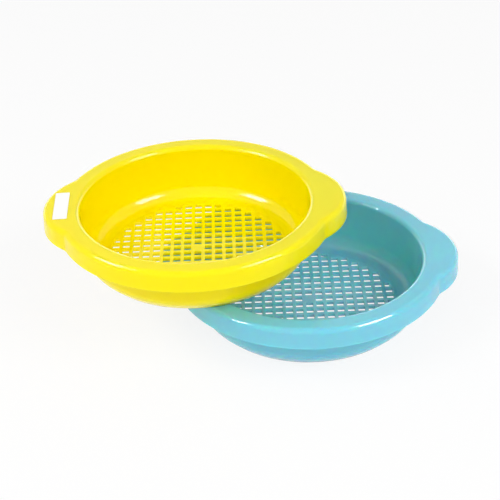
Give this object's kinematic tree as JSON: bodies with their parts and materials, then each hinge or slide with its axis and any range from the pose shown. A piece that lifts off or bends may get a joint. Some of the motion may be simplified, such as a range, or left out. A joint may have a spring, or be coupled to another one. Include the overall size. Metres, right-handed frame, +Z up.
{
  "type": "sand sieve",
  "caption": "Round plastic sand sieve with two handle lobes, a flat rim with a skirt and a square-hole mesh floor, lying on the rim of a second one.",
  "frame": {"origin": "centre of the lower sieve's flat underside", "axes": "+Z up, X along the lower sieve's two handles, +Y away from the viewer of the picture"},
  "size_m": [0.3453, 0.2371, 0.1004],
  "materials": {
    "blue_plastic": "moulded polypropylene, smooth and glossy, light blue",
    "yellow_plastic": "moulded polypropylene, smooth and glossy, bright yellow",
    "label_film": "white film label, plain"
  },
  "bodies": {
    "lower_sieve": {"lower_rim": "blue_plastic", "lower_bowl": "blue_plastic", "lower_mesh": "blue_plastic"},
    "upper_sieve": {"upper_rim": "yellow_plastic", "upper_bowl": "yellow_plastic", "upper_mesh": "yellow_plastic", "label": "label_film"}
  },
  "joints": [
    {"name": "upper_lift", "type": "slide", "parent": "lower_sieve", "child": "upper_sieve", "axis": [0, 0, 1], "range_m": [0, 0.08]}
  ]
}
